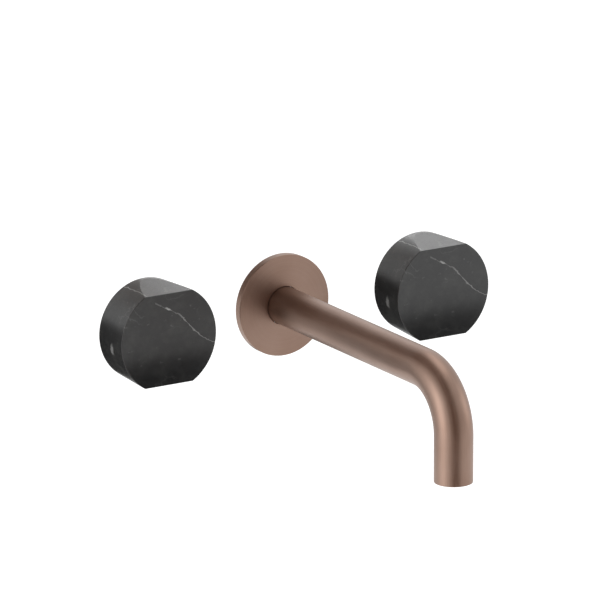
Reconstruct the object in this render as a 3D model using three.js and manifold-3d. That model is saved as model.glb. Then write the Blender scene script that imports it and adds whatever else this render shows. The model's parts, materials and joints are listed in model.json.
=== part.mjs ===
// Wall mounted bath faucet: a bent tube spout between two marble knobs on quarter-turn ceramic
// disc valves. Millimetres. +Z is up, +X is right as seen from the front, and the set faces -Y.
// The origin is where the spout's axis meets the wall plane, Y = 0; what lies at Y > 0 is in the wall.
import * as THREE from "three";
import { mergeVertices } from "three/addons/utils/BufferGeometryUtils.js";
import Module from "manifold-3d";

// ---------- driving dimensions ----------

// Clearances
const SEAT_GAP = 0.3; // between faces that rest on each other
const SLIP = 0.2; // radial, between coaxial pieces
const RING_PLAY = 0.1; // between an O-ring and the walls of its groove
const LAP = 0.5; // how far two shapes that become one piece reach into each other
const CLEAR = 1; // how far a cutter reaches past the face that it opens
const EDGE = 0.6; // chamfer on the lead-in edges of turned pieces

// Layout on the wall
const HANDLE_SPACING = 200; // between the two valve axes
const COVER_DEPTH = 5.6; // front of the spout flange, from the wall
const COLLAR_DEPTH = 2.2; // front of a valve's wall collar, from the wall
const WALL_GAP = 0.2; // between a metal cover's rim and the wall
const GASKET_THICKNESS = 0.8;
const GASKET_INSET = 2.4; // from a cover's rim and from its bore to the gasket's recess

// Spout
const TUBE_RADIUS = 12;
const TUBE_WALL = 2.4;
const SPOUT_REACH = 200; // wall to the outlet's centre
const SPOUT_DROP = 63.6; // spout axis to the outlet rim
const BEND_RADIUS = 35; // to the tube's centreline
const FLANGE_RADIUS = 32.5;
const FLANGE_RING_PLACE = 1.4; // middle of its O-ring behind the flange's front
const RIM_CHAMFER = 0.5; // front edge of the covers
const THREAD_START = 1; // of the nipple's thread, behind the wall plane
const NIPPLE_IN_WALL = 26;
const NIPPLE_IN_TUBE = 34;
const WATERWAY_RADIUS = 5.8; // bore of the nipple
const THREAD_RADIUS = 10.4; // G1/2 thread size
const NIPPLE_RING_PLACES = [3.4, 9]; // from the nipple's front end
const SPOUT_SCREW_RADIUS = 2.5;
const SPOUT_SCREW_Y = -14;
const SCREW_GROOVE_DEPTH = 1.6; // round the nipple, for the screw's tip

// Outlet
const AERATOR_DEPTH = 13.6; // of the wider bore that takes the aerator
const AERATOR_BORE_WALL = 1.8; // tube wall around it
const AERATOR_RECESS = 0.6; // from the tube's rim up to the housing
const AERATOR_HEIGHT = 10.6;
const AERATOR_WALL = 1.8;
const LIP_HEIGHT = 1.6;
const LIP_WIDTH = 1;
const STRAIGHTENER_HEIGHT = 5;
const SCREEN_HEIGHT = 0.8;
const HOLE_MARGIN = 1.9; // from the edge of a perforated disc to the middle of a hole
const SCREEN_HOLE = 2; // side of its square holes
const SCREEN_PITCH = 3.1;
const STREAM_HOLE_RADIUS = 1.1;
const STREAM_HOLE_PITCH = 3.1;

// Knob
const KNOB_RADIUS = 33.8;
const KNOB_BACK_SHARE = 0.955; // radius at the back over the radius at the front
const KNOB_DEPTH = 30;
const KNOB_FLAT = 29.2; // axis to each of the two flats, at the front
const KNOB_FLAT_RISE = 0.12; // how much the flats lean away from the axis for each mm behind the front
const KNOB_GAP = 0.7; // knob to wall collar
const KNOB_RECESS_RADIUS = 13.2;
const KNOB_RECESS_DEPTH = 8.3;
const KNOB_SCREW_RADIUS = 2;
const KNOB_SCREW_LENGTH = 4.5;
const KNOB_SCREW_HOLE = 2.6; // radius of the way to the screw through the marble

// Knob insert and spindle
const INSERT_RADIUS = 9;
const INSERT_LENGTH = 15;
const INSERT_FLANGE_RADIUS = 12.8;
const INSERT_FLANGE_THICKNESS = 2;
const INSERT_COUNTERBORE = 6.6; // radius of the room for the circlip
const SPLINE_TEETH = 12;
const SPLINE_RADIUS = 4;
const SPLINE_TOOTH = 0.45;
const SPINDLE_RADIUS = 5;
const SPINDLE_RING_PLACES = [2.4, 6.2]; // from the hexagon's front
const SPINDLE_SET_BACK = 2; // spindle's end behind the insert's front
const CIRCLIP_RADIUS = 6.1;
const CIRCLIP_THICKNESS = 0.8;
const CIRCLIP_GAP_ANGLE = 0.7; // half the opening, in radians
const CIRCLIP_GROOVE = 0.9; // depth

// Headwork: the brass valve top, in the order of its pieces from the front
const COLLAR_RADIUS = 25;
const HEX_FLATS = 17; // across flats
const HEX_LENGTH = 4.4;
const THREAD_FRONT = 1.2; // thread in front of the wall collar
const SHOULDER_Y = 2.6; // inner shoulder that the spindle's collar runs on
const GLIDE_THICKNESS = 0.8;
const DRIVE_COLLAR_RADIUS = 7.6;
const DRIVE_COLLAR_THICKNESS = 1.4;
const CHAMBER_LENGTH = 2.8; // water room between the drive collar and the moving disc
const DISC_RADIUS = 8;
const MOVING_DISC_THICKNESS = 3.6;
const FIXED_DISC_THICKNESS = 3.5;
const DISC_WINDOW_INNER = 2.6;
const DISC_WINDOW_OUTER = 6.4;
const DISC_WINDOW_HALF_ANGLE = 0.66; // radians
const TANG_LENGTH = 8; // across the spindle's axis
const TANG_THICKNESS = 2.4;
const TANG_DEPTH = 1.6; // into the moving disc
const HOUSING_RADIUS = 9.8;
const KEY_WIDTH = 1.6;
const KEY_DEPTH = 0.8;
const SEAL_INNER_RADIUS = 5.6;
const SEAL_THICKNESS = 2.5;
const SEAL_PROUD = 1.4; // past the end of the headwork
const WINDOW_COUNT = 4;
const WINDOW_WIDTH = 8;

// O-ring sections, by radius
const SPINDLE_RING = 0.6;
const HEADWORK_RING = 0.85;
const RING_PROUD = 0.3; // how far the headwork's O-ring stands out of its thread
const NIPPLE_RING = 0.8;
const FLANGE_RING = 0.55;

// Facets
const ROUND = 20; // sides of the small turned pieces
const TUBE_SIDES = 24;
const COVER_SIDES = 32;
const KNOB_SIDES = 64;
const SCREW_SIDES = 10;
const RING_SECTION_SIDES = 6;
const BEND_STEPS = 8;

// ---------- materials ----------

const finish = (color, roughness, metalness) =>
  new THREE.MeshStandardMaterial({ color, roughness, metalness });
const MARBLE = finish(0x2e2e30, 0.42, 0);
const BRONZE = finish(0x85604f, 0.42, 0.9);
const BRASS = finish(0xb08d4a, 0.35, 0.9);
const STEEL = finish(0x9a9c9e, 0.35, 0.9);
const RUBBER = finish(0x1c1c1c, 0.85, 0);
const CERAMIC = finish(0xe9e6df, 0.3, 0);
const NYLON = finish(0xdad9d2, 0.55, 0);

// ---------- shape helpers ----------

const wasm = await Module();
wasm.setup();

/** A three.js geometry as a manifold solid with its faces turned outwards. */
function solid(geometry) {
  const bare = geometry.index ? geometry.toNonIndexed() : geometry.clone();
  bare.deleteAttribute("normal");
  bare.deleteAttribute("uv");
  const merged = mergeVertices(bare, 1e-4);
  const vertProperties = merged.attributes.position.array;
  const corners = [];
  for (let i = 0; i < merged.index.count; i += 3) {
    const [a, b, c] = merged.index.array.slice(i, i + 3);
    // A lathe's triangles on its axis close to a line, and are left out.
    if (a !== b && b !== c && c !== a) corners.push(a, b, c);
  }
  const triVerts = new Uint32Array(corners);
  const corner = (i) => new THREE.Vector3().fromArray(vertProperties, 3 * triVerts[i]);
  let volume = 0;
  for (let i = 0; i < triVerts.length; i += 3)
    volume += corner(i).dot(corner(i + 1).cross(corner(i + 2)));
  if (volume < 0)
    for (let i = 0; i < triVerts.length; i += 3)
      [triVerts[i + 1], triVerts[i + 2]] = [triVerts[i + 2], triVerts[i + 1]];
  return new wasm.Manifold(new wasm.Mesh({ numProp: 3, vertProperties, triVerts }));
}

/** A manifold solid as a three.js geometry. */
function geometryOf(body) {
  const { numProp, vertProperties, triVerts } = body.getMesh();
  const positions = new Float32Array(triVerts.length * 3);
  triVerts.forEach((v, i) => {
    for (let k = 0; k < 3; k++) positions[3 * i + k] = vertProperties[numProp * v + k];
  });
  const geometry = new THREE.BufferGeometry();
  geometry.setAttribute("position", new THREE.BufferAttribute(positions, 3));
  geometry.computeVertexNormals();
  return geometry;
}

const cut = (body, ...cutters) => cutters.reduce((rest, cutter) => rest.subtract(cutter), body);

/** A turned solid about the Y axis, from its closed half outline of [radius, y] points. */
const turned = (outline, sides = ROUND) =>
  solid(
    new THREE.LatheGeometry(
      [...outline, outline[0]].map(([r, y]) => new THREE.Vector2(r, y)),
      sides,
    ),
  );

/** A plain round bar from y0 to y1. */
const bar = (radius, y0, y1, sides = ROUND) =>
  solid(new THREE.CylinderGeometry(radius, radius, y1 - y0, sides)).translate(0, (y0 + y1) / 2, 0);

/** A ring or sleeve of square section from y0 to y1. */
const sleeve = (inner, outer, y0, y1, sides = ROUND) =>
  turned([[inner, y0], [outer, y0], [outer, y1], [inner, y1]], sides);

/** A box from its middle and its three sizes. */
const block = ([x, y, z], [width, depth, height]) =>
  solid(new THREE.BoxGeometry(width, depth, height)).translate(x, y, z);

/** A rubber ring of round section, seated on a shaft or groove floor of the given radius. */
function oRing(floorRadius, section, y, sides = ROUND) {
  const middle = floorRadius + RING_PLAY + section;
  const outline = Array.from({ length: RING_SECTION_SIDES }, (_, i) => {
    const turn = (i / RING_SECTION_SIDES) * 2 * Math.PI;
    return [middle + section * Math.cos(turn), y + section * Math.sin(turn)];
  });
  return turned(outline, sides);
}

/** The cutter of an O-ring groove in a shaft: everything outside the groove's floor. */
const ringGroove = (floorRadius, section, y) =>
  sleeve(floorRadius, 2 * floorRadius, y - section - RING_PLAY, y + section + RING_PLAY);

/** A flat outline in X and Z, extruded along Y from y0 to y1. */
function extruded(points, y0, y1) {
  const shape = new THREE.Shape(points.map(([x, z]) => new THREE.Vector2(x, z)));
  const geometry = new THREE.ExtrudeGeometry(shape, { depth: y1 - y0, bevelEnabled: false });
  return solid(geometry.rotateX(Math.PI / 2)).translate(0, y1, 0);
}

/** The outline of a splined shaft or hole, a tooth and a root for each of its teeth. */
function splineOutline(radius) {
  const points = [];
  for (let i = 0; i < 4 * SPLINE_TEETH; i++) {
    const r = i % 4 < 2 ? radius : radius - SPLINE_TOOTH;
    const turn = ((i + 0.5) / (4 * SPLINE_TEETH)) * 2 * Math.PI;
    points.push([r * Math.cos(turn), r * Math.sin(turn)]);
  }
  return points;
}

/** The two opposite windows of a ceramic disc, centred on the direction `middle`. */
function discWindows(middle, y0, y1) {
  const steps = 6;
  const arc = (radius, from, to) =>
    Array.from({ length: steps + 1 }, (_, i) => {
      const turn = from + ((to - from) * i) / steps;
      return [radius * Math.cos(turn), radius * Math.sin(turn)];
    });
  const side = (centre) => {
    const [low, high] = [centre - DISC_WINDOW_HALF_ANGLE, centre + DISC_WINDOW_HALF_ANGLE];
    return extruded([...arc(DISC_WINDOW_OUTER, low, high), ...arc(DISC_WINDOW_INNER, high, low)], y0, y1);
  };
  return side(middle).add(side(middle + Math.PI));
}

/** A socket set screw along Z, pointing up, from its tip's height downwards. */
function setScrew(radius, length, tipZ, y) {
  const outline = [[0, -length], [radius, -length], [radius, -EDGE], [radius - EDGE, 0], [0, 0]];
  const socket = bar(0.5 * radius, -length - CLEAR, 0.8 * radius - length, 6);
  return cut(turned(outline, SCREW_SIDES), socket).rotate([90, 0, 0]).translate(0, y, tipZ);
}

/** A round hole along Z between two heights, under the Y axis at the given y. */
const holeBelow = (radius, y, z0, z1) =>
  bar(radius, z0, z1, SCREW_SIDES).rotate([90, 0, 0]).translate(0, y, 0);

/** A round cover plate against the wall, with a recess behind for its gasket. */
function coverPlate(radius, bore, depth) {
  const outline = [
    [bore, -WALL_GAP],
    [radius, -WALL_GAP],
    [radius, RIM_CHAMFER - depth],
    [radius - RIM_CHAMFER, -depth],
    [bore, -depth],
  ];
  const floor = -GASKET_THICKNESS - SEAT_GAP;
  return cut(
    turned(outline, COVER_SIDES),
    sleeve(bore + GASKET_INSET, radius - GASKET_INSET, floor, CLEAR, COVER_SIDES),
  );
}

/** The flat rubber ring that lies in a cover plate's recess and meets the wall. */
const coverGasket = (radius, bore) =>
  sleeve(bore + GASKET_INSET + SEAT_GAP, radius - GASKET_INSET - SEAT_GAP, -GASKET_THICKNESS, 0);

// ---------- assembly ----------

const faucet = new THREE.Group();

function place(group, name, body, material) {
  const mesh = new THREE.Mesh(geometryOf(body), material);
  mesh.name = name;
  group.add(mesh);
}

// ---------- spout ----------

/** The spout's centreline; it gives its own stations, so that only the bend is divided. */
class SpoutPath extends THREE.Curve {
  constructor() {
    super();
    const bendY = BEND_RADIUS - SPOUT_REACH;
    this.stations = [{ at: [0, -WALL_GAP, 0], along: [0, -1, 0] }];
    for (let i = 0; i <= BEND_STEPS; i++) {
      const turn = ((i / BEND_STEPS) * Math.PI) / 2;
      this.stations.push({
        at: [0, bendY - BEND_RADIUS * Math.sin(turn), BEND_RADIUS * (Math.cos(turn) - 1)],
        along: [0, -Math.cos(turn), -Math.sin(turn)],
      });
    }
    this.stations.push({ at: [0, -SPOUT_REACH, -SPOUT_DROP], along: [0, 0, -1] });
    this.steps = this.stations.length - 1;
  }
  getPointAt(u) {
    return new THREE.Vector3(...this.stations[Math.round(u * this.steps)].at);
  }
  getTangentAt(u) {
    return new THREE.Vector3(...this.stations[Math.round(u * this.steps)].along);
  }
}

/** A round bar along the spout's centreline. */
function alongSpout(radius) {
  const path = new SpoutPath();
  const circle = new THREE.Shape(
    Array.from({ length: TUBE_SIDES }, (_, i) => {
      const turn = (i / TUBE_SIDES) * 2 * Math.PI;
      return new THREE.Vector2(radius * Math.cos(turn), radius * Math.sin(turn));
    }),
  );
  return solid(new THREE.ExtrudeGeometry(circle, { steps: path.steps, extrudePath: path }));
}

const tubeBore = TUBE_RADIUS - TUBE_WALL;
const aeratorBore = TUBE_RADIUS - AERATOR_BORE_WALL;
const aeratorTop = AERATOR_DEPTH - SPOUT_DROP;

/** Turns a piece made about the Y axis so that +Y becomes up, and puts it on the outlet's axis. */
const atOutlet = (body) => body.rotate([90, 0, 0]).translate(0, -SPOUT_REACH, 0);

function spoutTube() {
  const outletBore = atOutlet(bar(aeratorBore, -SPOUT_DROP - CLEAR, aeratorTop));
  const screwHole = holeBelow(
    SPOUT_SCREW_RADIUS + SLIP,
    SPOUT_SCREW_Y,
    -TUBE_RADIUS - CLEAR,
    CLEAR - tubeBore,
  );
  const inletEnd = bar(tubeBore, -CLEAR, CLEAR);
  return cut(alongSpout(TUBE_RADIUS), alongSpout(tubeBore), inletEnd, outletBore, screwHole);
}

const nippleRadius = tubeBore - SLIP;
const nippleGroove = nippleRadius - 2 * NIPPLE_RING - RING_PLAY;
const nippleRingYs = NIPPLE_RING_PLACES.map((place) => place - NIPPLE_IN_TUBE);
const screwGroove = nippleRadius - SCREW_GROOVE_DEPTH;

function inletNipple() {
  const body = turned([
    [WATERWAY_RADIUS, -NIPPLE_IN_TUBE],
    [nippleRadius - EDGE, -NIPPLE_IN_TUBE],
    [nippleRadius, -NIPPLE_IN_TUBE + EDGE],
    [nippleRadius, THREAD_START],
    [THREAD_RADIUS, THREAD_START],
    [THREAD_RADIUS, NIPPLE_IN_WALL - EDGE],
    [THREAD_RADIUS - EDGE, NIPPLE_IN_WALL],
    [WATERWAY_RADIUS, NIPPLE_IN_WALL],
  ]);
  const grooves = nippleRingYs.map((y) => ringGroove(nippleGroove, NIPPLE_RING, y));
  const reach = SPOUT_SCREW_RADIUS + 2 * SLIP;
  const seat = sleeve(screwGroove, 2 * nippleRadius, SPOUT_SCREW_Y - reach, SPOUT_SCREW_Y + reach);
  return cut(body, ...grooves, seat);
}

const flangeBore = TUBE_RADIUS + SLIP;
const flangeRingY = FLANGE_RING_PLACE - COVER_DEPTH;

function spoutFlange() {
  const floor = TUBE_RADIUS + 2 * (FLANGE_RING + RING_PLAY);
  const half = FLANGE_RING + RING_PLAY;
  const groove = sleeve(tubeBore, floor, flangeRingY - half, flangeRingY + half, COVER_SIDES);
  return cut(coverPlate(FLANGE_RADIUS, flangeBore, COVER_DEPTH), groove);
}

// The aerator's pieces are made about the Y axis, with +Y for up.
const housingFloor = AERATOR_RECESS - SPOUT_DROP;
const housingTop = housingFloor + AERATOR_HEIGHT;
const housingRadius = aeratorBore - SLIP;
const housingBore = housingRadius - AERATOR_WALL;
const straightenerFloor = housingFloor + LIP_HEIGHT + SEAT_GAP;
const screenFloor = straightenerFloor + STRAIGHTENER_HEIGHT + SEAT_GAP;

const aeratorHousing = () =>
  turned([
    [housingBore - LIP_WIDTH, housingFloor],
    [housingRadius - EDGE, housingFloor],
    [housingRadius, housingFloor + EDGE],
    [housingRadius, housingTop],
    [housingBore, housingTop],
    [housingBore, housingFloor + LIP_HEIGHT],
    [housingBore - LIP_WIDTH, housingFloor + LIP_HEIGHT],
  ]);

/** A disc inside the housing with a close pattern of holes; `hole` gives each hole's cutter. */
function perforatedDisc(floor, height, pitch, hole) {
  const radius = housingBore - SLIP;
  const rows = Math.ceil(radius / pitch);
  let body = bar(radius, floor, floor + height);
  for (let row = -rows; row <= rows; row++) {
    const z = row * pitch * Math.sin(Math.PI / 3);
    for (let column = -rows; column <= rows; column++) {
      const x = (column + (row % 2 ? 0.5 : 0)) * pitch;
      if (Math.hypot(x, z) < radius - HOLE_MARGIN) body = body.subtract(hole.translate(x, 0, z));
    }
  }
  return body;
}

function addSpout() {
  const spout = new THREE.Group();
  place(spout, "spout_tube", spoutTube(), BRONZE);
  place(spout, "spout_flange", spoutFlange(), BRONZE);
  place(spout, "flange_o_ring", oRing(TUBE_RADIUS, FLANGE_RING, flangeRingY, TUBE_SIDES), RUBBER);
  place(spout, "flange_gasket", coverGasket(FLANGE_RADIUS, flangeBore), RUBBER);
  place(spout, "inlet_nipple", inletNipple(), BRASS);
  nippleRingYs.forEach((y, i) =>
    place(spout, `nipple_o_ring_${["front", "rear"][i]}`, oRing(nippleGroove, NIPPLE_RING, y), RUBBER),
  );
  const screwTip = -screwGroove - SEAT_GAP;
  const screwLength = TUBE_RADIUS - SEAT_GAP + screwTip;
  place(
    spout,
    "spout_grub_screw",
    setScrew(SPOUT_SCREW_RADIUS, screwLength, screwTip, SPOUT_SCREW_Y),
    STEEL,
  );
  place(spout, "aerator_housing", atOutlet(aeratorHousing()), NYLON);
  const stream = bar(STREAM_HOLE_RADIUS, straightenerFloor - CLEAR, screenFloor + CLEAR, 6);
  const straightener = perforatedDisc(straightenerFloor, STRAIGHTENER_HEIGHT, STREAM_HOLE_PITCH, stream);
  place(spout, "flow_straightener", atOutlet(straightener), NYLON);
  const mesh = block([0, screenFloor, 0], [SCREEN_HOLE, 4 * SCREEN_HEIGHT, SCREEN_HOLE]);
  const screen = perforatedDisc(screenFloor, SCREEN_HEIGHT, SCREEN_PITCH, mesh);
  place(spout, "aerator_screen", atOutlet(screen), STEEL);
  const sealSeat = housingTop + SEAT_GAP;
  const seal = sleeve(housingBore - LIP_WIDTH, housingRadius - SLIP, sealSeat, aeratorTop - SEAT_GAP);
  place(spout, "aerator_seal", atOutlet(seal), RUBBER);
  faucet.add(spout);
}

// ---------- valves ----------

// Places along a valve's axis, from the front of the knob to the end of the valve in the wall
const knobBack = -COLLAR_DEPTH - KNOB_GAP;
const knobFront = knobBack - KNOB_DEPTH;
const recessFloor = knobBack - KNOB_RECESS_DEPTH;
const insertFlangeFront = recessFloor + SEAT_GAP;
const insertBack = insertFlangeFront + INSERT_FLANGE_THICKNESS;
const insertFront = insertFlangeFront - INSERT_LENGTH;
const knobScrewY = (insertFront + insertFlangeFront) / 2;
const threadFrontEnd = -COLLAR_DEPTH - THREAD_FRONT;
const hexFront = threadFrontEnd - HEX_LENGTH;
const circlipBack = hexFront - SEAT_GAP;
const circlipFront = circlipBack - CIRCLIP_THICKNESS;
const spindleFront = insertFront + SPINDLE_SET_BACK;
const splineEnd = circlipFront - LAP;
const glideBack = SHOULDER_Y + SEAT_GAP + GLIDE_THICKNESS;
const driveFront = glideBack + SEAT_GAP;
const driveBack = driveFront + DRIVE_COLLAR_THICKNESS;
const movingFront = driveBack + CHAMBER_LENGTH;
const movingBack = movingFront + MOVING_DISC_THICKNESS;
const fixedFront = movingBack + SEAT_GAP;
const fixedBack = fixedFront + FIXED_DISC_THICKNESS;
const sealFront = fixedBack + SEAT_GAP;
const sealBack = sealFront + SEAL_THICKNESS;
const housingEnd = sealBack - SEAL_PROUD;
const chamberRadius = DISC_RADIUS + SEAT_GAP;
const spindleRingYs = SPINDLE_RING_PLACES.map((place) => hexFront + place);
const spindleGroove = SPINDLE_RADIUS + SLIP - 2 * (SPINDLE_RING + RING_PLAY);
const headworkRingY = HEADWORK_RING + RING_PLAY;
const headworkGroove = THREAD_RADIUS + RING_PROUD - 2 * HEADWORK_RING - RING_PLAY;

function marbleKnob() {
  const backRadius = KNOB_RADIUS * KNOB_BACK_SHARE;
  const body = turned(
    [
      [0, knobFront],
      [KNOB_RADIUS, knobFront],
      [backRadius, knobBack],
      [0, knobBack],
    ],
    KNOB_SIDES,
  );
  const lean = THREE.MathUtils.radToDeg(Math.atan(KNOB_FLAT_RISE));
  const offcut = (side) =>
    block([0, 0, side * KNOB_RADIUS], [4 * KNOB_RADIUS, 4 * KNOB_DEPTH, 2 * KNOB_RADIUS])
      .rotate([side * lean, 0, 0])
      .translate(0, knobFront, side * KNOB_FLAT);
  return cut(
    body,
    offcut(1),
    offcut(-1),
    bar(KNOB_RECESS_RADIUS, recessFloor, knobBack + CLEAR),
    bar(INSERT_RADIUS + SEAT_GAP, insertFront - SEAT_GAP, recessFloor + CLEAR),
    holeBelow(KNOB_SCREW_HOLE, knobScrewY, -KNOB_RADIUS - CLEAR, CLEAR - INSERT_RADIUS),
  );
}

function knobInsert() {
  const body = turned([
    [0, insertFront],
    [INSERT_RADIUS, insertFront],
    [INSERT_RADIUS, insertFlangeFront],
    [INSERT_FLANGE_RADIUS, insertFlangeFront],
    [INSERT_FLANGE_RADIUS, insertBack],
    [0, insertBack],
  ]);
  return cut(
    body,
    extruded(splineOutline(SPLINE_RADIUS + SLIP), spindleFront - SEAT_GAP, insertBack + CLEAR),
    bar(INSERT_COUNTERBORE, splineEnd - SEAT_GAP, insertBack + CLEAR),
    holeBelow(KNOB_SCREW_RADIUS + SLIP, knobScrewY, -INSERT_RADIUS - CLEAR, -SPLINE_RADIUS),
  );
}

function spindle() {
  const body = turned([
    [0, splineEnd - LAP],
    [SPLINE_RADIUS - SPLINE_TOOTH, splineEnd - LAP],
    [SPLINE_RADIUS - SPLINE_TOOTH, splineEnd],
    [SPINDLE_RADIUS, splineEnd],
    [SPINDLE_RADIUS, driveFront],
    [DRIVE_COLLAR_RADIUS, driveFront],
    [DRIVE_COLLAR_RADIUS, driveBack],
    [0, driveBack],
  ]);
  const splined = extruded(splineOutline(SPLINE_RADIUS), spindleFront, splineEnd);
  const tangEnd = movingFront + TANG_DEPTH;
  const tang = block(
    [0, (driveBack - LAP + tangEnd) / 2, 0],
    [TANG_LENGTH, tangEnd - driveBack + LAP, TANG_THICKNESS],
  );
  const clipGroove = sleeve(
    SPINDLE_RADIUS - CIRCLIP_GROOVE,
    2 * SPINDLE_RADIUS,
    circlipFront - RING_PLAY,
    circlipBack + RING_PLAY,
  );
  const grooves = spindleRingYs.map((y) => ringGroove(spindleGroove, SPINDLE_RING, y));
  return cut(body.add(splined).add(tang), clipGroove, ...grooves);
}

function circlip() {
  const inner = SPINDLE_RADIUS - CIRCLIP_GROOVE + RING_PLAY;
  const reach = 2 * CIRCLIP_RADIUS;
  const mouth = extruded(
    [
      [0, 0],
      [reach * Math.sin(-CIRCLIP_GAP_ANGLE), reach],
      [reach * Math.sin(CIRCLIP_GAP_ANGLE), reach],
    ],
    circlipFront - CLEAR,
    circlipBack + CLEAR,
  );
  return cut(sleeve(inner, CIRCLIP_RADIUS, circlipFront, circlipBack), mouth);
}

function movingDisc() {
  const slot = block(
    [0, movingFront, 0],
    [TANG_LENGTH + 2 * SLIP, 2 * (TANG_DEPTH + SLIP), TANG_THICKNESS + 2 * SLIP],
  );
  const windows = discWindows(Math.PI / 2, movingFront - CLEAR, movingBack + CLEAR);
  return cut(bar(DISC_RADIUS, movingFront, movingBack), slot, windows);
}

/** The two keys that stop the fixed disc from turning, grown by `play` for the disc's notches. */
const discKeys = (play, y0, y1) =>
  [-1, 1]
    .map((side) =>
      block(
        [0, (y0 + y1) / 2, side * (chamberRadius - (KEY_DEPTH + play - LAP) / 2)],
        [KEY_WIDTH + 2 * play, y1 - y0, KEY_DEPTH + play + LAP],
      ),
    )
    .reduce((all, key) => all.add(key));

const fixedDisc = () =>
  cut(
    bar(DISC_RADIUS, fixedFront, fixedBack),
    discWindows(0, fixedFront - CLEAR, fixedBack + CLEAR),
    discKeys(SEAT_GAP, fixedFront - CLEAR, fixedBack + CLEAR),
  );

function headworkBody() {
  const body = turned([
    [0, threadFrontEnd],
    [THREAD_RADIUS, threadFrontEnd],
    [THREAD_RADIUS, driveFront],
    [HOUSING_RADIUS, driveFront + THREAD_RADIUS - HOUSING_RADIUS],
    [HOUSING_RADIUS, housingEnd],
    [0, housingEnd],
  ]);
  const hex = bar(HEX_FLATS / Math.sqrt(3), hexFront, threadFrontEnd + LAP, 6);
  let hollow = cut(
    body.add(hex),
    bar(SPINDLE_RADIUS + SLIP, hexFront - CLEAR, SHOULDER_Y + CLEAR),
    bar(chamberRadius, SHOULDER_Y, housingEnd + CLEAR),
    ringGroove(headworkGroove, HEADWORK_RING, headworkRingY),
  );
  const windowBox = block(
    [HOUSING_RADIUS, (driveBack + movingFront) / 2, 0],
    [2 * (HOUSING_RADIUS - DISC_WINDOW_OUTER), CHAMBER_LENGTH, WINDOW_WIDTH],
  );
  for (let i = 0; i < WINDOW_COUNT; i++)
    hollow = hollow.subtract(windowBox.rotate([0, ((i + 0.5) * 360) / WINDOW_COUNT, 0]));
  return hollow.add(discKeys(0, fixedFront, fixedBack));
}

const collarBore = THREAD_RADIUS + SLIP;

function addValve(side, x) {
  const valve = new THREE.Group();
  valve.position.x = x;
  const add = (name, body, material) => place(valve, `${side}_${name}`, body, material);
  add("marble_knob", marbleKnob(), MARBLE);
  add("knob_insert", knobInsert(), BRASS);
  add(
    "knob_grub_screw",
    setScrew(KNOB_SCREW_RADIUS, KNOB_SCREW_LENGTH, -SPLINE_RADIUS - SEAT_GAP, knobScrewY),
    STEEL,
  );
  add("spindle", spindle(), BRASS);
  add("spindle_circlip", circlip(), STEEL);
  spindleRingYs.forEach((y, i) =>
    add(`spindle_o_ring_${["front", "rear"][i]}`, oRing(spindleGroove, SPINDLE_RING, y), RUBBER),
  );
  add(
    "glide_washer",
    sleeve(SPINDLE_RADIUS + SLIP, DRIVE_COLLAR_RADIUS, SHOULDER_Y + SEAT_GAP, glideBack),
    NYLON,
  );
  add("moving_disc", movingDisc(), CERAMIC);
  add("fixed_disc", fixedDisc(), CERAMIC);
  add("seat_seal", sleeve(SEAL_INNER_RADIUS, DISC_RADIUS, sealFront, sealBack), RUBBER);
  add("headwork_body", headworkBody(), BRASS);
  add("headwork_o_ring", oRing(headworkGroove, HEADWORK_RING, headworkRingY), RUBBER);
  add("wall_collar", coverPlate(COLLAR_RADIUS, collarBore, COLLAR_DEPTH), BRONZE);
  add("collar_gasket", coverGasket(COLLAR_RADIUS, collarBore), RUBBER);
  faucet.add(valve);
}

addSpout();
addValve("hot", -HANDLE_SPACING / 2);
addValve("cold", HANDLE_SPACING / 2);

export default faucet;
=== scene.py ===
# %% [markdown]
# # A wall mounted bath faucet
# The set has a bent tube spout in brushed bronze, with a round flange at the wall, and two knobs of
# black marble. Behind each knob a brass valve with ceramic discs stands in the wall. The working
# model gives every place and size; this lesson makes the fine surfaces and the finishes around it.

# %% The frame
import math
import json

import bpy
from mathutils import Matrix, Vector


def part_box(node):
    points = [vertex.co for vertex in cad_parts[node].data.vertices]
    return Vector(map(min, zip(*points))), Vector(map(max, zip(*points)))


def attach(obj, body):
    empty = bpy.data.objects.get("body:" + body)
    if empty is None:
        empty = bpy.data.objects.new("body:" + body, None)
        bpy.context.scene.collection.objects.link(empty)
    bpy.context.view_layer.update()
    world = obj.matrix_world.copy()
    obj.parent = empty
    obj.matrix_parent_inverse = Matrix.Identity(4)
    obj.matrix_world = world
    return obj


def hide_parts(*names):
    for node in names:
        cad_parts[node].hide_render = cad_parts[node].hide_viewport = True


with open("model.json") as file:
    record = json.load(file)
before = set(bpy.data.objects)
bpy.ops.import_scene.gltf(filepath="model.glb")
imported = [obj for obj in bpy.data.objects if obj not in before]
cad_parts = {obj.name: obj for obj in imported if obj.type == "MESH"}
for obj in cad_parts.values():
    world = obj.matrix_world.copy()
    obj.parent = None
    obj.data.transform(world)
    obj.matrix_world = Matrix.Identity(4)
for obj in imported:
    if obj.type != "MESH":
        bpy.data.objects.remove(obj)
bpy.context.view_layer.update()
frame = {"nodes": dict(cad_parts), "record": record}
MM = 0.001
print("pieces in the working model:", len(frame["nodes"]))

# %% [markdown]
# ## The camera
# A long lens far away keeps the knobs' flats parallel, as in a product picture. The camera looks a
# little down on the set, from the left of its front. It is made first, so that every later step can
# be looked at from there.

# %% The camera
CAMERA_AZIMUTH = math.radians(-31.8)
CAMERA_ELEVATION = math.radians(15.95)
CAMERA_DISTANCE = 5.0
FIELD = 0.3738  # width of the view at the object
SENSOR = 36.0
AIM_RIGHT, AIM_UP = 0.0126, 0.002  # from the origin, in the view

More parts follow.
